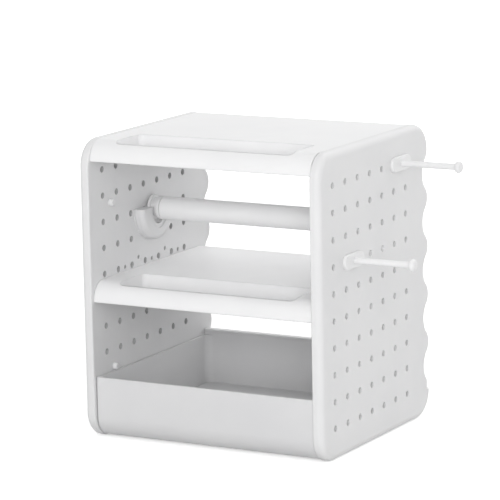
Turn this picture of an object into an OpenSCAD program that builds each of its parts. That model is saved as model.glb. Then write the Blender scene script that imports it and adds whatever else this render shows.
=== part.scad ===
// Desk organizer with pegboard sides, two pen-tray shelves, a pull-out
// drawer, a lift-out rod for rolls and two plug-in peg hooks.
// Origin: centre of the footprint at floor level. +X right, +Y back, +Z up.

/* [Overall] */
// Clear width between the side panels
inner_w = 232; // [200:1:280]
// Height of the side panels
height = 286; // [270:1:320]
// Depth of the side panels, front edge to the crests of the back edge
depth = 227.6; // [210:0.1:245]
// Thickness of a side panel
panel_t = 11; // [9.5:0.5:14]
// Corner radius of a side panel, seen from the side
corner_r = 25.5; // [22:0.5:30]
// Rounding of the outer edge of a side panel
outer_edge_r = 6.5; // [4:0.5:7]
// Rounding of the inner edge of a side panel
inner_edge_r = 1.5; // [1:0.5:4]
// Set-back of shelves and drawer behind the front edge of the sides
front_set = 4; // [2:0.5:6]

/* [Back edge] */
// Number of waves in the back edge
wave_count = 5; // [4:1:6]
// Depth of a wave
wave_depth = 10.6; // [9:0.1:14]

/* [Peg holes] */
// Distance from hole to hole
pitch = 25; // [24:0.1:26]
// Diameter of a peg hole
hole_d = 6; // [5:0.1:6.5]
// Distance of the first column from the front edge
hole_front = 25; // [22:0.5:28]
// Least distance of the last column from the back edge
hole_back = 40; // [36:1:46]
// Least distance of the outer rows from the top and bottom edges
hole_edge = 28; // [26:1:30]
// Wall of the tube round each peg hole, inside the panel
tube_wall = 1.6; // [1:0.1:2.2]

/* [Side shells] */
// Wall of the outer shell
skin_t = 2.6; // [2:0.1:3]
// Thickness of the inner plate
plate_t = 2.4; // [2:0.1:3]
// Width of the shell's edge that shows round the inner plate
plate_inset = 5; // [4.5:0.1:5.5]
// Gap between the inner plate and its recess
plate_gap = 0.15; // [0.1:0.05:0.3]
// Radius of a plate screw's head
screw_head_r = 2; // [1.6:0.1:2.4]
// Radius of a plate screw's shank
screw_r = 1.3; // [1:0.1:1.5]
// Length of a plate screw's shank
screw_len = 6; // [4:0.5:6]
// Step of the screw row above and below the shelf
screw_zigzag = 5.5; // [4:0.5:7]
// Number of screws in a row
screw_count = 5; // [3:1:5]

/* [Shelves] */
// Height of the front lip of the top and the shelf
lip_h = 18.5; // [17:0.5:20]
// Rounding of the front lip
lip_r = 18; // [14:0.5:20]
// Plate thickness of the top and the shelf
shelf_t = 2.8; // [2:0.1:3.2]
// Skirt and rib thickness
skirt_t = 2.4; // [1.8:0.1:3]
// Set-back of the shelves at the rear
rear_set = 22.5; // [16:0.5:26]
// Drop of the top plate below the top of the sides
top_drop = 0.5; // [0.2:0.1:1]
// Gap at the ends of the shelves
end_gap = 0.15; // [0.1:0.05:0.3]
// Set-back of the pen tray behind the front lip
tray_front = 8.5; // [7:0.5:10]
// Width of the pen tray, front to back
tray_w = 46; // [36:1:50]
// Length of the pen tray
tray_len = 187; // [150:1:190]
// Depth of the pen tray
tray_depth = 15.7; // [12:0.1:15.7]
// Corner radius of the pen tray
tray_r = 5; // [3:0.5:8]
// Wall and floor of the pen tray
tray_wall = 2.2; // [1.8:0.1:2.4]
// Length of a locking tab into the side panel
tab_len = 4.5; // [3.5:0.5:5]
// Width of a locking tab
tab_w = 12; // [8:1:13]
// Clearance round a locking tab
tab_gap = 0.2; // [0.15:0.05:0.3]
// Hole columns from one locking tab to the next
tab_col_count = 3; // [2:1:3]

/* [Base] */
// Height of the base panel
base_h = 9; // [8.5:0.1:10]
// Plate thickness of the base panel
base_t = 2.6; // [2:0.1:3]

/* [Drawer] */
// Height of the drawer's side and front rims above the floor
drawer_rim = 60.2; // [50:0.1:80]
// Extra height of the drawer's back wall
back_rise = 6.8; // [5:0.1:8]
// Radius of the bead along the top of the back wall
bead_r = 1.6; // [1.5:0.1:2]
// Wall of the drawer
drawer_wall = 2.4; // [2:0.1:3]
// Radius of the drawer's lower front edge
chin_r = 21; // [18:0.5:22]
// Radius of the drawer's inner corners
drawer_corner_r = 8; // [4:0.5:12]
// Set-back of the drawer's back wall behind the crests of the back edge
drawer_rear = 14.8; // [12:0.1:18]
// Gap between drawer and side panels
drawer_side_gap = 1; // [0.6:0.1:1.5]
// Gap between drawer and base panel
drawer_gap = 0.3; // [0.2:0.05:0.5]

/* [Drawer stops] */
// Radius of a stop button
stop_r = 3.3; // [2.5:0.1:3.8]
// How far a stop button stands off the panel
stop_proud = 4.5; // [3.5:0.1:6]
// Radius of a stop button's stem
stop_stem_r = 1.8; // [1.4:0.1:2.2]

/* [Roll rod] */
// Radius of the rod tube
rod_r = 11.1; // [10:0.1:12]
// Wall of the rod tube
rod_wall = 1.7; // [1.4:0.1:2.5]
// Running clearance between tube and end cap, in the radius
rod_run = 0.05; // [0.03:0.01:0.09]
// Radius of the end cap's disc
disc_r = 12.4; // [12:0.1:14]
// Thickness of the end cap's disc
disc_t = 2.7; // [2.4:0.1:3.2]
// Radius of the end cap's neck, which passes the cradle's slot
neck_r = 9.1; // [8:0.1:9.6]
// Length of the end cap's collar, as thick as the tube
collar_len = 4; // [2:0.5:6]
// Depth that an end cap reaches into the tube
spigot_len = 18; // [12:1:30]
// Height of the rod above the cradle's pins
rod_rise = 25.4; // [24:0.1:26]
// Row of the cradle's pins, counted from the top
cradle_row_count = 4; // [4:1:5]

/* [Cradles] */
// Radius of the cradle's rim at the panel
cradle_base_r = 32; // [31.5:0.5:35]
// Thickness of the cradle's rim at the panel
cradle_base_t = 1.2; // [1:0.1:2]
// Radius of the cradle's body
cradle_r = 31; // [30.5:0.5:33]
// Rounding of the cradle's outer edge
cradle_edge_r = 5; // [3:0.5:6]
// How far the cradle stands off the panel
cradle_t = 10; // [9.5:0.5:12]
// Thickness of the cradle's front plate
cradle_plate = 4.2; // [3.5:0.1:4.4]
// Clearance round the disc in the cradle
cradle_gap = 0.3; // [0.2:0.05:0.5]
// Clearance of the neck in the cradle's slot
slot_gap = 0.7; // [0.5:0.1:1]
// How far the slot reaches below the rod's axis, less its own radius
slot_drop = 6; // [4:0.5:7]
// Width of the step round the slot
ring_w = 4.2; // [3:0.1:5]
// Depth of the step round the slot
ring_sink = 1; // [0.6:0.1:1.4]
// Height of the cradle's flat top above the rod axis
cradle_top = 2.1; // [1:0.1:6]
// Length of a cradle pin
cradle_pin = 9; // [6:0.5:9]

/* [Peg hooks] */
// Reach of a hook from the panel's face
hook_len = 64.5; // [50:0.5:90]
// Radius of a hook's rod
hook_r = 3.05; // [2.4:0.05:3.4]
// Radius of a hook's head
head_r = 5.7; // [4.4:0.1:6.5]
// Thickness of a hook's head
head_t = 6.4; // [5:0.1:8]
// Radius of the round ends of a hook's base plate
foot_r = 7; // [5.5:0.5:9]
// Thickness of a hook's base plate
foot_t = 3; // [2:0.2:4]
// Rounding of the base plate's edge
foot_edge_r = 1; // [0.6:0.1:1.4]
// Sliding clearance of a plug in a peg hole, in the radius
plug_gap = 0.07; // [0.04:0.01:0.1]
// How far a hook's plugs reach past the panel
plug_past = 1; // [0:0.5:3]
// Rear plug of the upper hook: column counted from the back
upper_col_count = 1; // [1:1:3]
// Row of the upper hook, counted from the top
upper_row_count = 1; // [1:1:2]
// Front plug of the lower hook: column counted from the front
lower_col_count = 2; // [1:1:4]
// Row of the lower hook, counted from the top
lower_row_count = 4; // [4:1:5]

/* [Hidden] */
$fn = 64;
white = [0.93, 0.93, 0.94];
eps = 0.01;
cut = 1;

front_y = -depth/2;
back_y = depth/2;
shelf_front = front_y + front_set;
shelf_back = back_y - rear_set;
shelf_w = inner_w - 2*end_gap;
mid_z = height/2;

// the back edge: equal arcs, convex crests and concave troughs. Arcs that meet overlap
// by blend, so that they cross instead of only touching
blend = 0.02;
wave_p = (height - 2*corner_r)/wave_count;
wave_r = (pow(wave_p/2, 2) + pow(wave_depth, 2) - pow(blend, 2))/(4*(wave_depth - blend));
crest_y = back_y - wave_r;
trough_y = back_y - wave_depth + wave_r;
wave_a = atan2(wave_p/2, trough_y - crest_y);
corner_y = back_y - corner_r - blend;

// the solid edge band of the outer shell
band_w = outer_edge_r + 1.5;
edge_steps = 4;

// peg holes
hole_r = hole_d/2;
tube_r = hole_r + tube_wall;
cols = floor((depth - hole_front - hole_back)/pitch) + 1;
rows = floor((height - 2*hole_edge)/pitch) + 1;
col_y = [for (c = [0:cols - 1]) front_y + hole_front + c*pitch];
row_z = [for (r = [0:rows - 1]) mid_z + (r - (rows - 1)/2)*pitch];

// plate screws, half a pitch off the columns, in a zigzag above and below the shelf
screw_cols = [for (c = [1:min(screw_count, cols - 2)]) c];
screw_rise = pitch/2;
boss_r = screw_r + 2;
pilot_r = screw_r + 0.05;
screw_head_t = 1.2;
head_sink = 0.4;

// shelf levels
top_z = height - top_drop;
shelf_z = mid_z + lip_h/2 - 0.7;
skirt_h = lip_h - 1.5;
tab_top = -11;
tab_bottom = -16;
tab_y = [for (c = [0:2]) front_y + hole_front + (c*tab_col_count + 0.5)*pitch];

// base
base_front = shelf_front + chin_r + 2.5;
base_tab_top = base_h - 0.4;
base_tab_bottom = 4.2;
base_back = back_y - drawer_rear + 1;

// drawer
drawer_w = inner_w - 2*drawer_side_gap;
drawer_floor = base_h + drawer_gap;
drawer_low = 1;
drawer_back = back_y - drawer_rear;
drawer_top = drawer_rim + back_rise;

// drawer stops: the lower pair holds the drawer level and stops its raised back wall
stop_y = front_y + hole_front + 0.5*pitch;
stop_z = drawer_rim + drawer_gap + stop_r;

// rod and cradles
rod_y = front_y + hole_front + 3.5*pitch;
pin_z = row_z[rows - cradle_row_count];
rod_z = pin_z + rod_rise;
pocket_r = disc_r + cradle_gap;
pocket_x = cradle_t - cradle_plate;
disc_x = pocket_x - cradle_gap - disc_t;
slot_r = neck_r + slot_gap;
ring_r = slot_r + ring_w;
collar_x = cradle_t + 1;
shoulder_x = collar_x + collar_len;
bore_r = rod_r - rod_wall;
spigot_r = bore_r - rod_run;
tube_gap = 0.3;
tube_half = inner_w/2 - shoulder_x - tube_gap;
plug_r = hole_r - plug_gap;

// ---------------------------------------------------------------- helpers

// y of the line where crest and trough arcs meet, drawn in by d
function meet_y(d) = crest_y + (wave_r - d)*cos(wave_a);

// how far the rounded edge is drawn in at depth t through the panel
function edge_d(t) = t < inner_edge_r
    ? inner_edge_r - sqrt(pow(inner_edge_r, 2) - pow(inner_edge_r - t, 2))
    : outer_edge_r - sqrt(max(0, pow(outer_edge_r, 2) - pow(max(0, t - panel_t + outer_edge_r), 2)));

// turns a form drawn in (y, z) with its thickness along +z so that it stands in the
// YZ plane: its thickness runs along +x
module stand() rotate([90, 0, 90]) children();

// puts a form built against the plane x = 0, reaching +x, on the inner face of a side
module at_side(s) {
    if (s > 0) translate([inner_w/2, 0, 0]) children();
    else mirror([1, 0, 0]) translate([inner_w/2, 0, 0]) children();
}

// a cylinder along +x
module rod_x(r, x0, x1) translate([x0, 0, 0]) rotate([0, 90, 0]) cylinder(r = r, h = x1 - x0);

// a solid turned about the x axis from a profile in (x, radius)
module turned(profile) rotate([0, 90, 0]) rotate_extrude() mirror([1, 0])
    rotate(90) mirror([0, 1]) polygon(profile);

// a plate with round corners, standing on z = 0
module round_box(x, y, h, r) {
    linear_extrude(h) {
        translate([-x/2 + r, -y/2]) square([x - 2*r, y]);
        translate([-x/2, -y/2 + r]) square([x, y - 2*r]);
        for (i = [-1, 1], j = [-1, 1]) translate([i*(x/2 - r), j*(y/2 - r)]) circle(r);
    }
}

// ---------------------------------------------------------------- side panels

// places children at the crests, the troughs and the panel's corners, in (y, z)
module at_crests() for (k = [0:wave_count]) translate([crest_y, corner_r + k*wave_p]) children();
module at_troughs() for (k = [0:wave_count - 1]) translate([trough_y, corner_r + (k + 0.5)*wave_p]) children();
module at_front_corners() for (z = [corner_r, height - corner_r]) translate([front_y + corner_r, z]) children();
module at_back_corners() for (z = [corner_r, height - corner_r]) translate([corner_y, z]) children();

// the outer quarters beside the back corners, which the crests go on from
module back_corner_zone() for (z = [-cut, height - corner_r])
    translate([corner_y - cut, z]) square([corner_r + 2*cut, corner_r + cut]);

// side view of a panel in (y, z), drawn in by d
module panel_outline(d) {
    difference() {
        union() {
            translate([front_y + d, corner_r]) square([meet_y(d) - front_y - d, height - 2*corner_r]);
            translate([front_y + corner_r, d]) square([corner_y - front_y - corner_r, height - 2*d]);
            at_front_corners() circle(corner_r - d);
            intersection() {
                at_back_corners() circle(corner_r - d);
                back_corner_zone();
            }
            at_crests() circle(wave_r - d);
        }
        at_troughs() circle(wave_r + d);
    }
}

// what the rounding takes off a square edge at x = 0 that faces +x, through the panel's
// thickness along y, inner face at 0
module edge_waste() {
    difference() {
        translate([-inner_edge_r, -cut]) square(inner_edge_r + cut);
        translate([-inner_edge_r, inner_edge_r]) circle(inner_edge_r);
    }
    difference() {
        translate([-outer_edge_r, panel_t - outer_edge_r]) square(outer_edge_r + cut);
        translate([-outer_edge_r, panel_t - outer_edge_r]) circle(outer_edge_r);
    }
}

// a disc with round edges, and its opposite, a spool that leaves round edges
module puck(r) rotate_extrude() difference() {
    square([r, panel_t]);
    translate([r, 0]) edge_waste();
}
module spool(r) rotate_extrude() {
    translate([0, -cut]) square([r, panel_t + 2*cut]);
    translate([r, 0]) mirror([1, 0]) edge_waste();
}

// section of the panel in (y, thickness) between its corners
module upright_section() difference() {
    polygon(concat([[front_y, panel_t], [front_y, 0]],
        [for (i = [0:edge_steps]) let (t = inner_edge_r*(1 - cos(90*i/edge_steps))) [meet_y(edge_d(t)), t]],
        [for (i = [0:edge_steps]) let (t = panel_t - outer_edge_r*(1 - sin(90*i/edge_steps)))
            [meet_y(edge_d(t)), t]]));
    translate([front_y, 0]) mirror([1, 0]) edge_waste();
}

// section of the panel in (z, thickness) between its corners
module level_section() difference() {
    square([height, panel_t]);
    translate([height, 0]) edge_waste();
    mirror([1, 0]) edge_waste();
}

// the panel's full outer form, solid: two crossing slabs, round corners and crests,
// with the troughs taken out
module panel_form() {
    difference() {
        union() {
            translate([0, height - corner_r, 0]) rotate([90, 0, 0])
                linear_extrude(height - 2*corner_r) upright_section();
            translate([front_y + corner_r, 0, 0]) stand()
                linear_extrude(corner_y - front_y - corner_r) level_section();
            at_front_corners() puck(corner_r);
            intersection() {
                at_back_corners() puck(corner_r);
                translate([0, 0, -cut]) linear_extrude(panel_t + 2*cut) back_corner_zone();
            }
            at_crests() puck(wave_r);
        }
        at_troughs() spool(wave_r);
    }
}

// places children at every peg hole, in (y, z)
module at_holes() for (y = col_y, z = row_z) translate([y, z]) children();

// places children at every plate screw, in (y, z)
module at_screws() for (c = screw_cols, s = [-1, 1])
    translate([front_y + hole_front + (c + 0.5)*pitch,
               mid_z + s*(screw_rise + (c % 2 == 0 ? screw_zigzag : 0))]) children();

// places children at both stops, in (y, z)
module at_stops() for (z = [stop_z, height - stop_z]) translate([stop_y, z]) children();

// pockets for the locking tabs, in (y, z), with the thickness along +z
module tab_pockets() {
    for (y = tab_y, z = [top_z, shelf_z])
        translate([y - tab_w/2 - tab_gap, z + tab_bottom - tab_gap, -cut])
            cube([tab_w + 2*tab_gap, tab_top - tab_bottom + 2*tab_gap, tab_len + tab_gap + cut]);
    for (y = tab_y)
        translate([y - tab_w/2 - tab_gap, base_tab_bottom - tab_gap, -cut])
            cube([tab_w + 2*tab_gap, base_tab_top - base_tab_bottom + 2*tab_gap, tab_len + tab_gap + cut]);
}

// outer shell: hollow from the inner side, with a tube at each peg hole and a boss at
// each screw, and a step all round in which the inner plate sits
module outer_shell() {
    difference() {
        union() {
            difference() {
                panel_form();
                translate([0, 0, -cut]) linear_extrude(panel_t - skin_t + cut) panel_outline(band_w);
            }
            translate([0, 0, plate_t]) linear_extrude(panel_t - plate_t - skin_t/2) {
                at_holes() circle(tube_r);
                at_screws() circle(boss_r);
            }
        }
        translate([0, 0, -cut]) linear_extrude(plate_t + cut) panel_outline(plate_inset);
        translate([0, 0, -cut]) linear_extrude(panel_t + 2*cut) at_holes() circle(hole_r);
        translate([0, 0, -cut]) linear_extrude(plate_t + screw_len + cut) at_screws() circle(pilot_r);
        tab_pockets();
    }
}

// inner plate: closes the shell, with the same holes
module inner_plate() {
    difference() {
        linear_extrude(plate_t) difference() {
            panel_outline(plate_inset + plate_gap);
            at_holes() circle(hole_r);
            at_screws() circle(screw_r + 0.15);
            at_stops() circle(stop_stem_r + 0.05);
        }
        translate([0, 0, -cut]) linear_extrude(cut + screw_head_t + head_sink)
            at_screws() circle(screw_head_r + 0.2);
        tab_pockets();
    }
}

// a plate screw with a domed head
module plate_screw() {
    translate([0, 0, head_sink]) cylinder(r = screw_head_r, h = screw_head_t);
    translate([0, 0, head_sink]) cylinder(r = screw_r, h = plate_t + screw_len - head_sink - 0.3);
}

// a stop button with a stem through the inner plate
module stop_button() {
    translate([0, 0, -stop_proud]) rotate_extrude() {
        difference() {
            square([stop_r, stop_proud - 0.05]);
            difference() {
                translate([stop_r - 1.2, -cut]) square([1.2 + cut, 1.2 + cut]);
                translate([stop_r - 1.2, 1.2]) circle(1.2);
            }
        }
    }
    translate([0, 0, -0.5]) cylinder(r = stop_stem_r, h = plate_t + 1.5);
}

module left_outer_shell() color(white) at_side(-1) stand() outer_shell();
module right_outer_shell() color(white) at_side(1) stand() outer_shell();
module left_inner_plate() color(white) at_side(-1) stand() inner_plate();
module right_inner_plate() color(white) at_side(1) stand() inner_plate();
module left_plate_screws() color("silver") at_side(-1) stand() at_screws() plate_screw();
module right_plate_screws() color("silver") at_side(1) stand() at_screws() plate_screw();
module left_drawer_stops() color(white) at_side(-1) stand() at_stops() stop_button();
module right_drawer_stops() color(white) at_side(1) stand() at_stops() stop_button();

// ---------------------------------------------------------------- top and shelf

// solid outline of a shelf in (y, z), top at z = 0, drawn in by d
module lip_section(d) {
    len = shelf_back - shelf_front;
    r = lip_r - d;
    translate([shelf_front + d, -lip_h]) square([len - 2*d, lip_h - lip_r]);
    translate([shelf_front + lip_r, -lip_h]) square([len - lip_r - d, lip_h - d]);
    translate([shelf_front + lip_r, -lip_r]) circle(r);
}

// a shelf: plate with a rounded front lip, end and back skirts, pen tray and ribs below
module tray_shelf() {
    tray_y = shelf_front + tray_front + tray_w/2;
    rib_front = tray_y + tray_w/2;
    difference() {
        intersection() {
            translate([-shelf_w/2, 0, 0]) stand() linear_extrude(shelf_w) lip_section(0);
            union() {
                difference() {
                    translate([-shelf_w/2, shelf_front - cut, -lip_h - cut])
                        cube([shelf_w, shelf_back - shelf_front + 2*cut, lip_h + 2*cut]);
                    translate([-shelf_w/2 + skirt_t, 0, -cut]) stand()
                        linear_extrude(shelf_w - 2*skirt_t) lip_section(shelf_t);
                }
                translate([0, tray_y, -tray_depth - tray_wall])
                    round_box(tray_len + 2*tray_wall, tray_w + 2*tray_wall, tray_depth + tray_wall, tray_r + tray_wall);
                for (x = [-0.3, -0.1, 0.1, 0.3]) translate([x*shelf_w - skirt_t/2, rib_front, -skirt_h + 3])
                    cube([skirt_t, shelf_back - rib_front, skirt_h - 3]);
                translate([-shelf_w/2, (rib_front + shelf_back)/2, -skirt_h + 5])
                    cube([shelf_w, skirt_t, skirt_h - 5]);
            }
        }
        translate([0, tray_y, -tray_depth]) round_box(tray_len, tray_w, tray_depth + cut, tray_r);
        // the end skirts stop short of the row of holes below
        for (s = [-1, 1]) translate([s*(shelf_w/2 - skirt_t/2) - skirt_t, shelf_front + lip_r, -lip_h - cut])
            cube([2*skirt_t, shelf_back, lip_h - skirt_h + cut]);
    }
    for (s = [-1, 1], y = tab_y) translate([s*(shelf_w/2 + tab_len/2), y, (tab_top + tab_bottom)/2])
        cube([tab_len + 2*eps, tab_w, tab_top - tab_bottom], center = true);
}

module top_panel() color(white) translate([0, 0, top_z]) tray_shelf();
module middle_shelf() color(white) translate([0, 0, shelf_z]) tray_shelf();

// ---------------------------------------------------------------- base

module base_panel() color(white) {
    len = base_back - base_front;
    difference() {
        translate([-shelf_w/2, base_front, 0]) cube([shelf_w, len, base_h]);
        translate([-shelf_w/2 + skirt_t, base_front + skirt_t, -cut])
            cube([shelf_w - 2*skirt_t, len - 2*skirt_t, base_h - base_t + cut]);
    }
    for (x = [-0.25, 0, 0.25]) translate([x*shelf_w - skirt_t/2, base_front + eps, 0])
        cube([skirt_t, len - 2*eps, base_h - eps]);
    translate([-shelf_w/2 + eps, base_front + len/2 - skirt_t/2, 0]) cube([shelf_w - 2*eps, skirt_t, base_h - eps]);
    for (s = [-1, 1], y = tab_y)
        translate([s*(shelf_w/2 + tab_len/2), y, (base_tab_top + base_tab_bottom)/2])
            cube([tab_len + 2*eps, tab_w, base_tab_top - base_tab_bottom], center = true);
}

// ---------------------------------------------------------------- drawer

// side view of the drawer in (y, z), drawn in by d on the front, back and floor
module drawer_section(d, top) {
    low = drawer_low + d;
    step = base_front - 1 - d;
    difference() {
        translate([shelf_front + d, low]) square([step - shelf_front - d, top - low]);
        difference() {
            translate([shelf_front + d - cut, low - cut]) square(chin_r - d + cut);
            translate([shelf_front + chin_r, drawer_low + chin_r]) circle(chin_r - d);
        }
    }
    translate([step - cut, drawer_floor + d]) square([drawer_back - step + cut, top - drawer_floor - d]);
}

module drawer() color([0.86, 0.86, 0.87]) {
    clear = drawer_top + cut;
    inside = drawer_back - drawer_wall - shelf_front - drawer_wall;
    difference() {
        translate([-drawer_w/2, 0, 0]) stand() linear_extrude(drawer_w) drawer_section(0, drawer_rim);
        intersection() {
            translate([-drawer_w/2, -eps - drawer_wall, 0]) stand() linear_extrude(drawer_w)
                drawer_section(0, clear);
            translate([-drawer_w/2, 0, 0]) stand() linear_extrude(drawer_w) drawer_section(drawer_wall, clear);
            translate([0, shelf_front + drawer_wall + inside/2, 0])
                round_box(drawer_w - 2*drawer_wall, inside, clear + cut, drawer_corner_r);
        }
    }
    // raised back wall with its bead
    wall_mid = drawer_back - drawer_wall/2;
    translate([-drawer_w/2, drawer_back - drawer_wall, drawer_floor + eps])
        cube([drawer_w, drawer_wall, drawer_top - bead_r - drawer_floor - eps]);
    translate([0, wall_mid, drawer_top - bead_r]) rod_x(bead_r, -drawer_w/2, drawer_w/2);
}

// ---------------------------------------------------------------- cradles and rod

// half section of a cradle in (radius, distance from the panel)
module cradle_section() {
    square([cradle_base_r, cradle_base_t]);
    square([cradle_r, cradle_t - cradle_edge_r]);
    square([cradle_r - cradle_edge_r, cradle_t]);
    translate([cradle_r - cradle_edge_r, cradle_t - cradle_edge_r]) circle(cradle_edge_r);
}

// a round hollow about the x axis from x0 to x1, open upwards
module open_slot(r, x0, x1) {
    rod_x(r, x0, x1);
    translate([x0, -r, 0]) cube([x1 - x0, 2*r, cradle_base_r + slot_drop]);
}

// a cradle on the inner face at x = 0, reaching +x, with its pins at -x
module cradle() {
    difference() {
        rotate([0, 90, 0]) rotate_extrude() cradle_section();
        open_slot(pocket_r, disc_x - cradle_gap, pocket_x);
        translate([0, 0, -slot_drop]) open_slot(slot_r, pocket_x - cut, cradle_t + cut);
        translate([0, 0, -slot_drop]) open_slot(ring_r, cradle_t - ring_sink, cradle_t + cut);
        translate([-cut, -cradle_base_r - cut, cradle_top])
            cube([cradle_t + 2*cut, 2*cradle_base_r + 2*cut, cradle_base_r]);
    }
    for (s = [-0.5, 0.5]) translate([0, s*pitch, pin_z - rod_z]) rod_x(plug_r, -cradle_pin, 1);
}

// end cap: disc, neck that passes the cradle, collar, and spigot into the tube
module rod_cap() {
    turned([[disc_x, 0], [disc_x, disc_r - 0.6], [disc_x + 0.6, disc_r], [disc_x + disc_t - 0.6, disc_r],
            [disc_x + disc_t, disc_r - 0.6], [disc_x + disc_t, neck_r], [collar_x, neck_r],
            [collar_x, rod_r - 0.5], [collar_x + 0.5, rod_r], [shoulder_x - 0.3, rod_r],
            [shoulder_x, rod_r - 0.3], [shoulder_x, spigot_r], [shoulder_x + spigot_len - 1, spigot_r],
            [shoulder_x + spigot_len, spigot_r - 1], [shoulder_x + spigot_len, 0]]);
}

// puts a form built against the inner face, reaching +x into the clear space, on side s
module inside_of(s) {
    if (s < 0) translate([-inner_w/2, rod_y, rod_z]) children();
    else mirror([1, 0, 0]) translate([-inner_w/2, rod_y, rod_z]) children();
}

module left_roll_cradle() color(white) inside_of(-1) cradle();
module right_roll_cradle() color(white) inside_of(1) cradle();
module left_rod_cap() color(white) inside_of(-1) rod_cap();
module right_rod_cap() color(white) inside_of(1) rod_cap();
module rod_tube() color(white) translate([0, rod_y, rod_z]) difference() {
    turned([[-tube_half, 0], [-tube_half, rod_r - 0.3], [-tube_half + 0.3, rod_r],
            [tube_half - 0.3, rod_r], [tube_half, rod_r - 0.3], [tube_half, 0]]);
    rod_x(bore_r, -tube_half - cut, tube_half + cut);
}

// ---------------------------------------------------------------- peg hooks

// half section of the base plate in (radius, thickness)
module foot_section() difference() {
    square([foot_r, foot_t]);
    difference() {
        translate([foot_r - foot_edge_r, foot_t - foot_edge_r]) square(foot_edge_r + cut);
        translate([foot_r - foot_edge_r, foot_t - foot_edge_r]) circle(foot_edge_r);
    }
}

// base plate of a hook: a bar with round ends across two peg holes, lying on the plane x = 0
module hook_foot() stand() {
    for (s = [-0.5, 0.5]) translate([s*pitch, 0, 0]) rotate_extrude() foot_section();
    translate([-pitch/2, 0, 0]) stand() linear_extrude(pitch) {
        foot_section();
        mirror([1, 0]) foot_section();
    }
}

// half section of a hook's head: a disc with a round rim
module head_section() {
    rim = head_t/2;
    translate([0, -rim]) square([head_r - rim, head_t]);
    translate([head_r - rim, 0]) circle(rim);
}

// a hook: two plugs at -x, base plate, rod and a head
module peg_hook() {
    tip = panel_t + plug_past;
    for (s = [-0.5, 0.5]) translate([0, s*pitch, 0]) {
        rod_x(plug_r, -tip + 1, 1);
        turned([[-tip, 0], [-tip, plug_r - 1], [-tip + 1, plug_r], [-tip + 1 + eps, plug_r], [-tip + 1 + eps, 0]]);
    }
    translate([0.1, 0, 0]) hook_foot();
    rod_x(hook_r, 1, hook_len - head_t/2);
    translate([hook_len - head_t/2, 0, 0]) rotate([0, 90, 0]) rotate_extrude() intersection() {
        translate([0, -head_t]) square([head_r, 2*head_t]);
        head_section();
    }
}

// puts a hook on the right panel: its front plug in column c, its plugs in row r
module in_holes(c, r) translate([inner_w/2 + panel_t, col_y[c] + pitch/2, row_z[r]]) children();

module upper_peg_hook() color(white)
    in_holes(cols - upper_col_count - 1, rows - upper_row_count) peg_hook();
module lower_peg_hook() color(white)
    in_holes(lower_col_count - 1, rows - lower_row_count) peg_hook();

left_outer_shell();
left_inner_plate();
left_plate_screws();
left_drawer_stops();
right_outer_shell();
right_inner_plate();
right_plate_screws();
right_drawer_stops();
top_panel();
middle_shelf();
base_panel();
drawer();
left_roll_cradle();
right_roll_cradle();
left_rod_cap();
right_rod_cap();
rod_tube();
upper_peg_hook();
lower_peg_hook();
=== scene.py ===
import math
import bmesh
import bpy
from mathutils import Matrix, Vector


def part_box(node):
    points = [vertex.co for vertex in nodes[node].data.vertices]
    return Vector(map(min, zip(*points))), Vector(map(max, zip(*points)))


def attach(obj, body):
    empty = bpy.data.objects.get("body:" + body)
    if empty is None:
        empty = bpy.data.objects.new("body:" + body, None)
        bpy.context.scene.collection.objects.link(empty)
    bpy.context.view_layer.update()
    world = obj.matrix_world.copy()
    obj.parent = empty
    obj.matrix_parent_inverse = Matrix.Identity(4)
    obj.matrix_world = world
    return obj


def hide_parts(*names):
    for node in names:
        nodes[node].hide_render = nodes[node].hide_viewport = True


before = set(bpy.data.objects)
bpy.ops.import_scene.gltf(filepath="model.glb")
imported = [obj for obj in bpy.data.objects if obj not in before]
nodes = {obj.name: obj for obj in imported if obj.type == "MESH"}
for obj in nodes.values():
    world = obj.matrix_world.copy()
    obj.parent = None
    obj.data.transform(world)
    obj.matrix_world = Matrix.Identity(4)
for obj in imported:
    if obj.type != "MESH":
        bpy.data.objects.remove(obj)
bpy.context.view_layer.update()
scene = bpy.context.scene
scene.view_settings.view_transform = "Standard"
mm = 0.001
print("frame loaded:", len(nodes), "nodes")


# a socket that takes part in sums, and a tree that gets its nodes from one method

class Wire:
    def __init__(self, graph, socket):
        self.graph = graph
        self.socket = socket

    def maths(self, operation, first, second):
        return self.graph.node("ShaderNodeMath", {"operation": operation}, {0: first, 1: second})

    def __add__(self, other):
        return self.maths("ADD", self, other)

    def __radd__(self, other):
        return self.maths("ADD", other, self)

    def __sub__(self, other):
        return self.maths("SUBTRACT", self, other)

    def __rsub__(self, other):
        return self.maths("SUBTRACT", other, self)

    def __mul__(self, other):
        return self.maths("MULTIPLY", self, other)

    def __rmul__(self, other):
        return self.maths("MULTIPLY", other, self)

    def __truediv__(self, other):
        return self.maths("DIVIDE", self, other)

    def __rtruediv__(self, other):
        return self.maths("DIVIDE", other, self)

    def __pow__(self, other):
        return self.maths("POWER", self, other)

    def __rpow__(self, other):
        return self.maths("POWER", other, self)

    def __mod__(self, other):
        return self.maths("FLOORED_MODULO", self, other)

    def __rmod__(self, other):
        return self.maths("FLOORED_MODULO", other, self)


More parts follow.
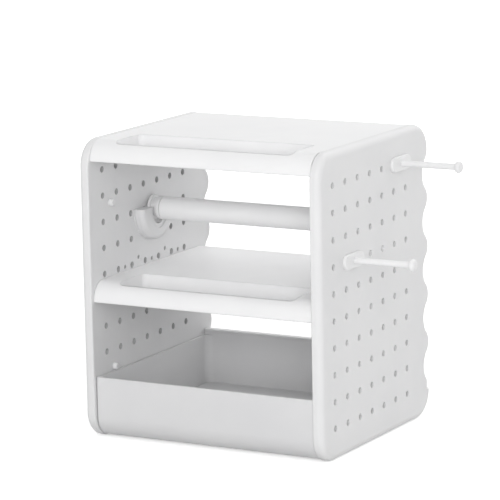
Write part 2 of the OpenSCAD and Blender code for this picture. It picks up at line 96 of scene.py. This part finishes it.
class Graph:
    def __init__(self, tree):
        self.tree = tree

    def node(self, kind, settings=None, sockets=None, out=0):
        made = self.tree.nodes.new(kind)
        for key, value in (settings or {}).items():
            setattr(made, key, value)
        for key, value in (sockets or {}).items():
            if isinstance(value, Wire):
                self.tree.links.new(value.socket, made.inputs[key])
            else:
                made.inputs[key].default_value = value
        return Wire(self, made.outputs[out]) if made.outputs else None

    def mixColour(self, amount, first, second):  # a Mix node's colours are sockets 6 and 7, its result 2
        return self.node("ShaderNodeMix", {"data_type": "RGBA", "blend_type": "MIX", "clamp_factor": True},
                         {0: amount, 6: first, 7: second}, 2)

    def stretch(self, place, scale, shift=(0, 0, 0)):
        return self.node("ShaderNodeMapping", {}, {"Vector": place, "Scale": scale, "Location": shift})

    def noise(self, place, scale, detail, rough=0.5, warp=0.0):
        return self.node("ShaderNodeTexNoise", {}, {"Vector": place, "Scale": scale, "Detail": detail,
                                                    "Roughness": rough, "Distortion": warp})

    def rise(self, value, low, high):  # 0 below low, 1 above high
        return self.node("ShaderNodeMapRange", {"interpolation_type": "SMOOTHSTEP", "clamp": True},
                         {"Value": value, "From Min": low, "From Max": high, "To Min": 0.0, "To Max": 1.0})

    def axes(self, place):
        split = self.node("ShaderNodeSeparateXYZ", {}, {"Vector": place}).socket.node
        return [Wire(self, output) for output in split.outputs]


def newMaterial(name):
    material = bpy.data.materials.new(name)
    material.use_nodes = True
    material.node_tree.nodes.clear()
    return material, Graph(material.node_tree)


def grey(level, blue=0.0):
    return (level, level, level + blue, 1)


shot = {
    "place": (1.3553, -2.4646, 0.7037),
    "turn": 28.95,       # degrees to the left of +Y
    "down": 10.71,
    "roll": -1.10,
    "lens": 216.92,
    "sensor": 36.0,
    "clipEnd": 60.0,
}


def makeCamera():
    camera = bpy.data.objects.new("camera", bpy.data.cameras.new("camera"))
    scene.collection.objects.link(camera)
    camera.data.lens = shot["lens"]
    camera.data.sensor_width = shot["sensor"]
    camera.data.clip_end = shot["clipEnd"]
    turn, down = math.radians(shot["turn"]), math.radians(shot["down"])
    look = Vector((-math.sin(turn) * math.cos(down), math.cos(turn) * math.cos(down), -math.sin(down)))
    right = Vector((math.cos(turn), math.sin(turn), 0))
    up = right.cross(look)
    axes = Matrix((right, up, -look)).transposed().to_4x4()
    camera.matrix_world = (Matrix.Translation(shot["place"]) @ axes
                           @ Matrix.Rotation(math.radians(shot["roll"]), 4, "Z"))
    scene.camera = camera


# glare: whether the box is mirrored in glossy surfaces. The low ones would burn out the flat tops, seen
# from the other side.
lamps = {
    "frontBox": {"place": (-0.3, -3.0, 0.9), "aim": (0, 0, 0.15), "size": (1.4, 1.2), "watts": 11,
                 "glare": False},
    "rightHighBox": {"place": (1.2, -2.6, 2.2), "aim": (0, 0, 0.15), "size": (1.6, 1.2), "watts": 16,
                     "glare": False},
    "rightLowBox": {"place": (1.5, -2.8, 0.9), "aim": (0, 0, 0.15), "size": (1.4, 1.2), "watts": 33,
                    "glare": False},
    "sideBox": {"place": (3.0, -0.3, 1.4), "aim": (0, 0, 0.15), "size": (1.6, 1.4), "watts": 3,
                "glare": True},
    "backBox": {"place": (0.3, 2.6, 1.6), "aim": (0, 0, 0.2), "size": (2.0, 1.2), "watts": 30,
                "glare": False},
    "backLowBox": {"place": (0.2, 3.0, 0.7), "aim": (0, 0, 0.2), "size": (2.2, 1.0), "watts": 15,
                   "glare": False},
    "backTopBox": {"place": (0.3, 1.6, 3.2), "aim": (0, 0, 0.2), "size": (2.2, 1.6), "watts": 24,
                   "glare": True},
}


def makeLamps():
    for name, lamp in lamps.items():
        light = bpy.data.lights.new(name, "AREA")
        light.shape = "RECTANGLE"
        light.size, light.size_y = lamp["size"]
        light.energy = lamp["watts"]
        box = bpy.data.objects.new(name, light)
        scene.collection.objects.link(box)
        box.location = lamp["place"]
        box.rotation_euler = (Vector(lamp["aim"]) - box.location).to_track_quat("-Z", "Y").to_euler()
        box.visible_glossy = lamp["glare"]


studio = {
    "ambient": 0.48,
    "floorGrey": 0.80,
    "floorPatches": 0.01,  # how far the floor's grey wanders
    "patchScale": 3.0,
    "floorRough": 0.6,
    "nearGlow": 0.42,     # what the floor shows the camera on top of its shading, beside the part
    "farGlow": 0.8,       # and far behind it
    "fadeFrom": 0.6,
    "fadeTo": 3.0,
    "floorHalf": 6.0,
    "floorDrop": 0.0004,  # below the part's feet
}


def shownToCamera(graph):  # 1 where the camera sees it, straight, in gloss or through glass, and else 0
    path = graph.node("ShaderNodeLightPath", out="Is Camera Ray")
    glossy, through = (Wire(graph, path.socket.node.outputs[name])
                       for name in ("Is Glossy Ray", "Is Transmission Ray"))
    return graph.node("ShaderNodeMath", {"operation": "ADD", "use_clamp": True}, {0: path + glossy, 1: through})


def makeWorld():
    world = bpy.data.worlds.new("studio")
    world.use_nodes = True
    world.node_tree.nodes.clear()
    graph = Graph(world.node_tree)
    strength = shownToCamera(graph) * (1.0 - studio["ambient"]) + studio["ambient"]
    back = graph.node("ShaderNodeBackground", {}, {"Color": grey(1.0), "Strength": strength})
    graph.node("ShaderNodeOutputWorld", {}, {"Surface": back})
    scene.world = world


def makeFloor():
    half, level = studio["floorHalf"], -studio["floorDrop"]
    mesh = bpy.data.meshes.new("floor")
    mesh.from_pydata([(-half, -half, level), (half, -half, level), (half, half, level), (-half, half, level)],
                     [], [(0, 1, 2, 3)])
    floor = bpy.data.objects.new("floor", mesh)
    scene.collection.objects.link(floor)
    material, graph = newMaterial("paleSweep")
    place = graph.node("ShaderNodeTexCoord", out="Object")
    patch = graph.noise(place, studio["patchScale"], 2.0)
    tone = graph.mixColour(patch, grey(studio["floorGrey"] - studio["floorPatches"]),
                           grey(studio["floorGrey"] + studio["floorPatches"]))
    paper = graph.node("ShaderNodeBsdfDiffuse", {}, {"Color": tone, "Roughness": studio["floorRough"]})
    away = graph.node("ShaderNodeVectorMath", {"operation": "LENGTH"}, {0: place}, "Value")
    fade = graph.rise(away, studio["fadeFrom"], studio["fadeTo"])
    light = graph.mixColour(fade, grey(studio["nearGlow"]), grey(studio["farGlow"]))
    glow = graph.node("ShaderNodeEmission", {}, {"Color": light, "Strength": shownToCamera(graph)})
    both = graph.node("ShaderNodeAddShader", {}, {0: paper, 1: glow})
    graph.node("ShaderNodeOutputMaterial", {}, {"Surface": both})
    mesh.materials.append(material)


makeCamera()
makeLamps()
makeWorld()
makeFloor()
print("camera, lamps and floor ready")


# the side panels and their peg holes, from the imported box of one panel
shellLow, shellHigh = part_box("right_outer_shell")
panel = {
    "innerX": shellLow.x,
    "outerX": shellHigh.x,
    "frontY": shellLow.y,
    "midZ": (shellLow.z + shellHigh.z) / 2,
    "pitch": 25 * mm,
    "holeRadius": 3 * mm,
    "holeFront": 25 * mm,  # from the front edge to the first column
    "columns": 7,
    "rows": 10,
}
firstY = panel["frontY"] + panel["holeFront"]
gridY = firstY + (panel["columns"] - 1) / 2 * panel["pitch"]
firstZ = panel["midZ"] - (panel["rows"] - 1) / 2 * panel["pitch"]

plasticLooks = {
    # tone: base colour, blue: tint, rough: roughness, grain: fine texture height, flow: long waves of the
    # moulding, along: axis of scuffs, scuff: strength of scuffs, grime: how much the colour darkens near the desk,
    # edge: how far the moulding's sharp edges look rounded, bore: strength of the painted shade that darkens
    # the walls of the peg holes
    "panelWhite": {"tone": 0.74, "blue": 0.006, "rough": 0.46, "grain": 0.05, "flow": 0.10, "along": (60, 8, 60),
                   "scuff": 0.35, "deskDarkening": 0.05, "edge": 0.5 * mm, "paintedHoleShade": 0.5, "seed": 1.0},
    "plateWhite": {"tone": 0.74, "blue": 0.006, "rough": 0.50, "grain": 0.06, "flow": 0.08, "along": (60, 8, 60),
                   "scuff": 0.40, "deskDarkening": 0.04, "edge": 0.3 * mm, "paintedHoleShade": 0.5, "seed": 2.0},
    "shelfWhite": {"tone": 0.825, "blue": 0.006, "rough": 0.40, "grain": 0.04, "flow": 0.10, "along": (70, 9, 70),
                   "scuff": 0.60, "deskDarkening": 0.0, "edge": 1.6 * mm, "seed": 3.0},
    "baseWhite": {"tone": 0.76, "blue": 0.006, "rough": 0.50, "grain": 0.05, "flow": 0.08, "along": (70, 9, 70),
                  "scuff": 0.60, "deskDarkening": 0.05, "edge": 0.6 * mm, "seed": 4.0},
    "drawerGrey": {"tone": 0.69, "blue": 0.008, "rough": 0.38, "grain": 0.03, "flow": 0.12, "along": (9, 70, 70),
                   "scuff": 0.55, "deskDarkening": 0.03, "edge": 1.1 * mm, "seed": 5.0},
    "rodWhite": {"tone": 0.84, "blue": 0.005, "rough": 0.30, "grain": 0.02, "flow": 0.05, "along": (6, 90, 90),
                 "scuff": 0.50, "deskDarkening": 0.0, "edge": 0.4 * mm, "seed": 6.0},
    "capWhite": {"tone": 0.76, "blue": 0.005, "rough": 0.36, "grain": 0.03, "flow": 0.05, "along": (90, 20, 20),
                 "scuff": 0.45, "deskDarkening": 0.0, "edge": 0.5 * mm, "seed": 7.0},
    "cradleWhite": {"tone": 0.72, "blue": 0.006, "rough": 0.44, "grain": 0.05, "flow": 0.06, "along": (40, 40, 12),
                    "scuff": 0.45, "deskDarkening": 0.0, "edge": 0.7 * mm, "seed": 8.0},
    "hookWhite": {"tone": 0.78, "blue": 0.005, "rough": 0.30, "grain": 0.02, "flow": 0.04, "along": (8, 90, 90),
                  "scuff": 0.50, "deskDarkening": 0.0, "edge": 0.5 * mm, "seed": 9.0},
    "stopWhite": {"tone": 0.78, "blue": 0.006, "rough": 0.42, "grain": 0.03, "flow": 0.03, "along": (60, 12, 60),
                  "scuff": 0.45, "deskDarkening": 0.0, "edge": 0.4 * mm, "seed": 10.0},
}
moulding = {  # what all the moulded plastic shares; the scales are those of noise, per metre
    "seedAside": 0.37,
    "cloudScale": 14.0,         # slow change of tone over the moulding
    "cloudTone": 0.012,
    "cloudRough": 0.08,
    "fleckScale": 900.0,        # fine satin texture
    "fleckRough": 0.10,
    "poreScale": 2600.0,
    "poreHeight": 0.5,
    "streakScale": 9.0,         # scuffs run along the part
    "streakWarp": 0.4,
    "scuffFrom": (0.60, 0.72),
    "wearScale": 26.0,          # where the scuffs gather
    "wearFrom": (0.52, 0.74),
    "scuffTint": 0.10,
    "scuffDark": 0.16,
    "scuffRough": 0.16,
    "scuffDepth": 0.04,
    "deskDarkeningHeight": 0.03,
    "deskDarkeningColour": (0.52, 0.50, 0.47, 1),
    "waveScale": 11.0,
    "waveDistance": 0.004,
    "reliefDistance": 0.0004,
    "reliefStrength": 0.5,
    "ior": 1.49,
}
# painted shade: the walls of the peg holes towards the bays are painted towards this dark grey
paintedHoleShade = {
    "grey": 0.30,
    "radius": panel["holeRadius"] + 0.02 * mm,
    "fade": 0.1 * mm,
    "fullX": panel["innerX"] + 5.0 * mm,   # dark up to here from the bay,
    "endX": panel["innerX"] + 7.5 * mm,    # plain from here outwards
}


# painted shade: the mask of the peg-hole walls that are painted darker
def paintedHoleShadeMask(graph, spot):  # 1 on the walls of the peg holes towards the bays, and else 0
    x, y, z = graph.axes(spot)
    pitch, fade = panel["pitch"], paintedHoleShade["fade"]
    half = pitch / 2
    offY = (y - firstY + half) % pitch - half
    offZ = (z - firstZ + half) % pitch - half
    off = (offY * offY + offZ * offZ) ** 0.5
    mask = 1.0 - graph.rise(off, paintedHoleShade["radius"], paintedHoleShade["radius"] + fade)
    for along, first, count in ((y, firstY, panel["columns"]), (z, firstZ, panel["rows"])):
        start, end = first - half, first + (count - 1) * pitch + half
        mask = mask * graph.rise(along, start, start + fade) * (1.0 - graph.rise(along, end, end + fade))
    sideways = graph.node("ShaderNodeMath", {"operation": "ABSOLUTE"}, {0: x})
    return mask * (1.0 - graph.rise(sideways, paintedHoleShade["fullX"], paintedHoleShade["endX"]))


def mouldedPlastic(name, look):
    material, graph = newMaterial(name)
    m, tone, blue = moulding, look["tone"], look["blue"]
    spot = graph.node("ShaderNodeTexCoord", out="Object")
    place = graph.stretch(spot, (1, 1, 1), (look["seed"], look["seed"] * m["seedAside"], 0))
    cloud = graph.noise(place, m["cloudScale"], 4.0, 0.55)
    fleck = graph.noise(place, m["fleckScale"], 2.0, 0.6)
    pore = graph.noise(place, m["poreScale"], 1.0)
    streak = graph.noise(graph.stretch(place, look["along"]), m["streakScale"], 4.0, 0.62, m["streakWarp"])
    wear = graph.noise(place, m["wearScale"], 3.0, 0.6)
    scuffs = graph.rise(streak, *m["scuffFrom"]) * look["scuff"] * graph.rise(wear, *m["wearFrom"])
    # the colour darkens towards the desk, within a few centimetres of the floor
    low = (1.0 - graph.rise(graph.axes(spot)[2], 0.0, m["deskDarkeningHeight"])) * look["deskDarkening"]
    base = graph.mixColour(graph.rise(cloud, 0.3, 0.7), grey(tone - m["cloudTone"], blue),
                           grey(tone + m["cloudTone"], blue / 2))
    base = graph.mixColour(scuffs * m["scuffTint"], base, grey(tone - m["scuffDark"]))
    base = graph.mixColour(low, base, m["deskDarkeningColour"])
    # painted shade: the peg-hole walls towards the bays are darkened in the base colour
    if "paintedHoleShade" in look:
        base = graph.mixColour(paintedHoleShadeMask(graph, spot) * look["paintedHoleShade"], base, grey(paintedHoleShade["grey"]))
    rough = (look["rough"] + (fleck - 0.5) * m["fleckRough"] + scuffs * m["scuffRough"]
             + (cloud - 0.5) * m["cloudRough"])
    relief = fleck * look["grain"] + pore * (look["grain"] * m["poreHeight"]) - scuffs * m["scuffDepth"]
    softEdge = graph.node("ShaderNodeBevel", {"samples": 4}, {"Radius": look["edge"]})
    wavy = graph.node("ShaderNodeBump", {}, {
        "Strength": look["flow"], "Distance": m["waveDistance"],
        "Height": graph.noise(place, m["waveScale"], 1.0, 0.4), "Normal": softEdge})
    grainy = graph.node("ShaderNodeBump", {}, {
        "Strength": m["reliefStrength"], "Distance": m["reliefDistance"], "Height": relief, "Normal": wavy})
    shader = graph.node("ShaderNodeBsdfPrincipled", {}, {
        "Base Color": base, "Roughness": rough, "Normal": grainy, "IOR": m["ior"]})
    graph.node("ShaderNodeOutputMaterial", {}, {"Surface": shader})
    return material


zinc = {
    "tone": (0.52, 0.52, 0.52, 1),
    "dark": (0.36, 0.36, 0.365, 1),
    "rough": 0.34,
    "roughSpread": 0.2,
    "spangleScale": 1400.0,
    "brush": (400, 6000, 6000),  # brushed along the screw
    "brushStrength": 0.3,
    "brushDepth": 0.0001,
}


def zincPlate(name):
    material, graph = newMaterial(name)
    place = graph.node("ShaderNodeTexCoord", out="Object")
    spangle = graph.noise(place, zinc["spangleScale"], 3.0, 0.6)
    brushed = graph.noise(graph.stretch(place, zinc["brush"]), 1.0, 2.0)
    tone = graph.mixColour(graph.rise(spangle, 0.35, 0.7), zinc["tone"], zinc["dark"])
    rough = zinc["rough"] + (brushed - 0.5) * zinc["roughSpread"]
    lines = graph.node("ShaderNodeBump", {}, {
        "Strength": zinc["brushStrength"], "Distance": zinc["brushDepth"], "Height": brushed})
    shader = graph.node("ShaderNodeBsdfPrincipled", {}, {
        "Base Color": tone, "Roughness": rough, "Metallic": 1.0, "Normal": lines})
    graph.node("ShaderNodeOutputMaterial", {}, {"Surface": shader})
    return material


finishes = {name: mouldedPlastic(name, look) for name, look in plasticLooks.items()}
finishes["zincPlate"] = zincPlate("zincPlate")

nodeFinish = {
    "left_outer_shell": "panelWhite", "right_outer_shell": "panelWhite",
    "left_inner_plate": "plateWhite", "right_inner_plate": "plateWhite",
    "left_plate_screws": "zincPlate", "right_plate_screws": "zincPlate",
    "left_drawer_stops": "stopWhite", "right_drawer_stops": "stopWhite",
    "top_panel": "shelfWhite", "middle_shelf": "shelfWhite", "base_panel": "baseWhite",
    "drawer": "drawerGrey",
    "left_roll_cradle": "cradleWhite", "right_roll_cradle": "cradleWhite",
    "left_rod_cap": "capWhite", "right_rod_cap": "capWhite", "rod_tube": "rodWhite",
    "upper_peg_hook": "hookWhite", "lower_peg_hook": "hookWhite",
}
for nodeName, finish in nodeFinish.items():
    cadNode = nodes[nodeName]
    cadNode.data.materials.clear()
    cadNode.data.materials.append(finishes[finish])
print("finishes on", len(nodeFinish), "nodes")


def geometryTree(name, inputs):
    tree = bpy.data.node_groups.new(name, "GeometryNodeTree")
    tree.interface.new_socket("Geometry", in_out="OUTPUT", socket_type="NodeSocketGeometry")
    for label, kind in inputs.items():
        tree.interface.new_socket(label, in_out="INPUT", socket_type=kind)
    graph = Graph(tree)
    start = tree.nodes.new("NodeGroupInput")
    given = {label: Wire(graph, start.outputs[label]) for label in inputs}
    return tree, graph, given


def evaluatedMesh(holder):
    bpy.context.view_layer.update()
    graph = bpy.context.evaluated_depsgraph_get()
    return bpy.data.meshes.new_from_object(holder.evaluated_get(graph))


def addObject(name, mesh):
    thing = bpy.data.objects.new(name, mesh)
    scene.collection.objects.link(thing)
    return thing


def grownMesh(name, tree, values):
    holder = addObject(name + "Holder", bpy.data.meshes.new(name + "Holder"))
    modifier = holder.modifiers.new("grow", "NODES")
    modifier.node_group = tree
    for item in tree.interface.items_tree:
        if item.in_out == "INPUT" and item.name in values:
            modifier[item.identifier] = values[item.name]
    mesh = evaluatedMesh(holder)
    holder.modifiers.remove(modifier)
    bpy.data.objects.remove(holder)
    mesh.name = name
    return addObject(name, mesh)


# merged copies of the drawer and the shelves with soft normals, which stand for the CAD ones
softCopies = {
    "drawer": {"piece": "drawer_tub", "body": "drawer", "slot": "drawer_plastic", "width": 0.9 * mm},
    "top_panel": {"piece": "top_tray_shelf", "body": "housing", "slot": "white_plastic", "width": 1.0 * mm},
    "middle_shelf": {"piece": "middle_tray_shelf", "body": "housing", "slot": "white_plastic",
                     "width": 1.0 * mm},
}
softening = {
    "mergeWithin": 0.005 * mm,
    "flatWithin": 0.5,     # degrees between triangles that become one face
    "easeFrom": 50,        # degrees between faces whose edge is eased
    "segments": 3,
    "faceWeight": 80,      # how much the large faces keep their own direction
}
ledge = {  # flat top of the drawer's back wall, drawn out of its bead
    "beadRadius": 1.6 * mm,
    "beadReach": 1.7,      # how far down the bead's points are taken, in radii
    "wallHalf": 1.2 * mm,
    "reach": 5.2 * mm,
    "drop": 0.95 * mm,
    "slack": 0.05 * mm,
}


def drawLedge(mesh):
    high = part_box("drawer")[1]
    radius = ledge["beadRadius"]
    middleY, middleZ = high.y - radius, high.z - radius
    for vertex in mesh.verts:
        if vertex.co.z < high.z - ledge["beadReach"] * radius:
            continue
        behind = vertex.co.y - middleY
        overWall = behind > ledge["slack"] and vertex.co.z > middleZ
        if overWall or behind > ledge["wallHalf"] + ledge["slack"]:
            vertex.co.y += ledge["reach"]
        vertex.co.z -= ledge["drop"]


def makeSoftCopy(nodeName, plan):
    mesh = bmesh.new()
    mesh.from_mesh(nodes[nodeName].data)
    bmesh.ops.remove_doubles(mesh, verts=mesh.verts[:], dist=softening["mergeWithin"])
    if nodeName == "drawer":
        drawLedge(mesh)
    bmesh.ops.dissolve_limit(mesh, angle_limit=math.radians(softening["flatWithin"]), verts=mesh.verts[:],
                             edges=mesh.edges[:])
    merged = bpy.data.meshes.new(plan["piece"])
    mesh.to_mesh(merged)
    mesh.free()
    merged.shade_smooth()
    holder = addObject(plan["piece"] + "Holder", merged)
    ease = holder.modifiers.new("ease", "BEVEL")
    ease.width = plan["width"]
    ease.segments = softening["segments"]
    ease.limit_method = "ANGLE"
    ease.angle_limit = math.radians(softening["easeFrom"])
    ease.use_clamp_overlap = True          # keeps the real width close to nothing beside short edges
    flat = holder.modifiers.new("flat", "WEIGHTED_NORMAL")
    flat.weight = softening["faceWeight"]
    flat.keep_sharp = True
    result = evaluatedMesh(holder)
    bpy.data.objects.remove(holder)
    result.name = plan["piece"]
    result.materials.clear()
    result.materials.append(finishes[nodeFinish[nodeName]])
    piece = addObject(plan["piece"], result)
    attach(piece, plan["body"])
    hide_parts(nodeName)
    print(plan["piece"], "faces:", len(result.polygons))


for nodeName, plan in softCopies.items():
    makeSoftCopy(nodeName, plan)


# soft lips round the peg holes, on both faces of both panels
lips = {
    "tubeRadius": 0.35 * mm,
    "proud": 0.05 * mm,
    "around": 32,
    "across": 10,
}


def lipTree():
    tree, graph, given = geometryTree("holeLips", {
        "Columns": "NodeSocketInt", "Rows": "NodeSocketInt", "Pitch": "NodeSocketFloat",
        "Hole Radius": "NodeSocketFloat", "Tube Radius": "NodeSocketFloat", "Proud": "NodeSocketFloat",
        "Face X": "NodeSocketFloat", "Middle Y": "NodeSocketFloat", "Middle Z": "NodeSocketFloat",
        "Outward": "NodeSocketFloat", "Around": "NodeSocketInt", "Across": "NodeSocketInt",
        "Finish": "NodeSocketMaterial"})
    grid = graph.node("GeometryNodeMeshGrid", {}, {
        "Size X": given["Pitch"] * (given["Columns"] - 1), "Size Y": given["Pitch"] * (given["Rows"] - 1),
        "Vertices X": given["Columns"], "Vertices Y": given["Rows"]})
    ring = graph.node("GeometryNodeCurvePrimitiveCircle", {}, {
        "Resolution": given["Around"], "Radius": given["Hole Radius"] + given["Tube Radius"]})
    profile = graph.node("GeometryNodeCurvePrimitiveCircle", {}, {
        "Resolution": given["Across"], "Radius": given["Tube Radius"]})
    lip = graph.node("GeometryNodeCurveToMesh", {}, {"Curve": ring, "Profile Curve": profile})
    lip = graph.node("GeometryNodeSetShadeSmooth", {}, {"Geometry": lip})
    many = graph.node("GeometryNodeInstanceOnPoints", {}, {"Points": grid, "Instance": lip})
    sink = given["Face X"] + given["Outward"] * (given["Proud"] - given["Tube Radius"])
    turned = graph.node("GeometryNodeTransform", {}, {   # stood up: its x runs along y, its y along z
        "Geometry": many, "Rotation": (math.pi / 2, 0, math.pi / 2),
        "Translation": graph.node("ShaderNodeCombineXYZ", {}, {
            0: sink, 1: given["Middle Y"], 2: given["Middle Z"]})})
    real = graph.node("GeometryNodeRealizeInstances", {}, {"Geometry": turned})
    done = graph.node("GeometryNodeSetMaterial", {}, {"Geometry": real, "Material": given["Finish"]})
    graph.node("NodeGroupOutput", {}, {"Geometry": done})
    return tree


def makeLips():
    tree = lipTree()
    for side, sign in (("left", -1), ("right", 1)):
        for face, x, outward, finish in (("outer", panel["outerX"], sign, "panelWhite"),
                                         ("inner", panel["innerX"], -sign, "plateWhite")):
            piece = grownMesh(side + "_" + face + "_hole_lips", tree, {
                "Columns": panel["columns"], "Rows": panel["rows"], "Pitch": panel["pitch"],
                "Hole Radius": panel["holeRadius"], "Tube Radius": lips["tubeRadius"], "Proud": lips["proud"],
                "Face X": sign * x, "Middle Y": gridY, "Middle Z": panel["midZ"], "Outward": float(outward),
                "Around": lips["around"], "Across": lips["across"], "Finish": finishes[finish]})
            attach(piece, "housing")


makeLips()
print("hole lips made")


# plate screws with cross recesses, which stand for the plain CAD ones
screw = {
    "dome": ((0.0, 0.0), (0.7, 0.03), (1.3, 0.14), (1.75, 0.35), (2.0, 0.62)),  # radius and drop, in mm
    "headRadius": 2.0 * mm,
    "headTop": 0.25 * mm,    # the head's top and underside, below the plate's face
    "headLow": 1.6 * mm,
    "headChamfer": 0.1 * mm,
    "shankRadius": 1.3 * mm,
    "shankEnd": 8.0 * mm,
    "tipRadius": 0.5 * mm,
    "threadStep": 0.7 * mm,
    "threadDepth": 0.2 * mm,
    "recessHalf": 0.22 * mm,
    "recessReach": 1.15 * mm,
    "recessDepth": 0.7 * mm,
    "recessTaper": 0.55,
    "recessAbove": 0.3 * mm,
    "around": 32,
    "columns": 5,
    "rise": 12.5 * mm,       # of a row, above and below the shelf
    "zigzag": 5.5 * mm,
}


def screwProfile():
    s = screw
    top, low, root = -s["headTop"], -s["headLow"], s["shankRadius"] - s["threadDepth"]
    profile = [(radius * mm, top - drop * mm) for radius, drop in s["dome"]]
    profile += [(s["headRadius"], low + s["headChamfer"]), (s["headRadius"] - s["headChamfer"], low), (root, low)]
    z = low
    while z > -s["shankEnd"] + s["threadStep"]:
        profile += [(s["shankRadius"], z - s["threadStep"] / 2), (root, z - s["threadStep"])]
        z -= s["threadStep"]
    return profile + [(s["tipRadius"], -s["shankEnd"]), (0.0, -s["shankEnd"])]


def spunMesh(profile, around):
    mesh = bmesh.new()
    turns = [2 * math.pi * i / around for i in range(around)]
    rings = []
    for radius, z in profile:
        if radius == 0.0:
            rings.append([mesh.verts.new((0, 0, z))])
        else:
            rings.append([mesh.verts.new((radius * math.cos(a), radius * math.sin(a), z)) for a in turns])
    for upper, lower in zip(rings, rings[1:]):
        for i in range(around):
            j = (i + 1) % around
            if len(upper) == 1:
                mesh.faces.new((upper[0], lower[i], lower[j]))
            elif len(lower) == 1:
                mesh.faces.new((upper[i], lower[0], upper[j]))
            else:
                mesh.faces.new((upper[i], lower[i], lower[j], upper[j]))
    bmesh.ops.recalc_face_normals(mesh, faces=mesh.faces[:])
    return mesh


def meshObject(name, mesh):
    data = bpy.data.meshes.new(name)
    mesh.to_mesh(data)
    mesh.free()
    return addObject(name, data)


def crossCutter():
    cutter = bmesh.new()
    for turned in (False, True):
        for vertex in bmesh.ops.create_cube(cutter, size=1.0)["verts"]:
            deep = vertex.co.z < 0
            along = vertex.co.x * 2 * screw["recessReach"] * (screw["recessTaper"] if deep else 1.0)
            wide = vertex.co.y * 2 * screw["recessHalf"]
            z = -screw["headTop"] - screw["recessDepth"] if deep else screw["recessAbove"]
            vertex.co = Vector((-wide, along, z)) if turned else Vector((along, wide, z))
    return meshObject("screwCutter", cutter)


def makeScrewTemplate():
    template = meshObject("screwTemplate", spunMesh(screwProfile(), screw["around"]))
    cutter = crossCutter()
    cut = template.modifiers.new("recess", "BOOLEAN")
    cut.operation = "DIFFERENCE"
    cut.solver = "EXACT"
    cut.use_self = True
    cut.object = cutter
    result = evaluatedMesh(template)
    template.modifiers.clear()
    template.data = result
    bpy.data.objects.remove(cutter)
    return template


def screwTree():
    tree, graph, given = geometryTree("plateScrews", {
        "Screw": "NodeSocketObject", "Columns": "NodeSocketInt", "Pitch": "NodeSocketFloat",
        "Rise": "NodeSocketFloat", "Zigzag": "NodeSocketFloat", "Face X": "NodeSocketFloat",
        "Middle Y": "NodeSocketFloat", "Middle Z": "NodeSocketFloat", "Outward": "NodeSocketFloat",
        "Seed": "NodeSocketInt", "Finish": "NodeSocketMaterial"})
    grid = graph.node("GeometryNodeMeshGrid", {}, {
        "Size X": given["Pitch"] * (given["Columns"] - 1), "Size Y": given["Rise"] * 2,
        "Vertices X": given["Columns"], "Vertices Y": 2})
    index = graph.node("GeometryNodeInputIndex")
    column = graph.node("ShaderNodeMath", {"operation": "FLOOR"}, {0: index / 2})
    upper = (index % 2) * 2 - 1                      # -1 below the shelf, +1 above it
    away = (column % 2) * given["Zigzag"] * upper
    moved = graph.node("GeometryNodeSetPosition", {}, {
        "Geometry": grid, "Offset": graph.node("ShaderNodeCombineXYZ", {}, {1: away})})
    head = graph.node("GeometryNodeObjectInfo", {"transform_space": "ORIGINAL"}, {"Object": given["Screw"]},
                      "Geometry")
    turn = graph.node("FunctionNodeRandomValue", {"data_type": "FLOAT"},  # sockets 2 and 3: from and to
                      {2: 0.0, 3: math.pi / 2, "ID": index, "Seed": given["Seed"]}, 1)
    many = graph.node("GeometryNodeInstanceOnPoints", {}, {
        "Points": moved, "Instance": head, "Rotation": graph.node("ShaderNodeCombineXYZ", {}, {2: turn})})
    turned = graph.node("GeometryNodeTransform", {}, {
        "Geometry": many,
        "Rotation": graph.node("ShaderNodeCombineXYZ", {}, {
            0: math.pi / 2, 2: given["Outward"] * (math.pi / 2)}),
        "Translation": graph.node("ShaderNodeCombineXYZ", {}, {
            0: given["Face X"], 1: given["Middle Y"], 2: given["Middle Z"]})})
    real = graph.node("GeometryNodeRealizeInstances", {}, {"Geometry": turned})
    done = graph.node("GeometryNodeSetMaterial", {}, {"Geometry": real, "Material": given["Finish"]})
    graph.node("NodeGroupOutput", {}, {"Geometry": done})
    return tree


def makeScrews():
    template = makeScrewTemplate()
    tree = screwTree()
    for side, sign in (("left", -1), ("right", 1)):
        low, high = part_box(side + "_plate_screws")
        middle = (low + high) / 2
        piece = grownMesh(side + "_cross_screws", tree, {
            "Screw": template, "Columns": screw["columns"], "Pitch": panel["pitch"], "Rise": screw["rise"],
            "Zigzag": screw["zigzag"], "Face X": sign * panel["innerX"], "Middle Y": middle.y,
            "Middle Z": middle.z, "Outward": float(-sign), "Seed": 3 + sign, "Finish": finishes["zincPlate"]})
        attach(piece, "housing")
        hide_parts(side + "_plate_screws")
    bpy.data.objects.remove(template)


makeScrews()
print("plate screws made")
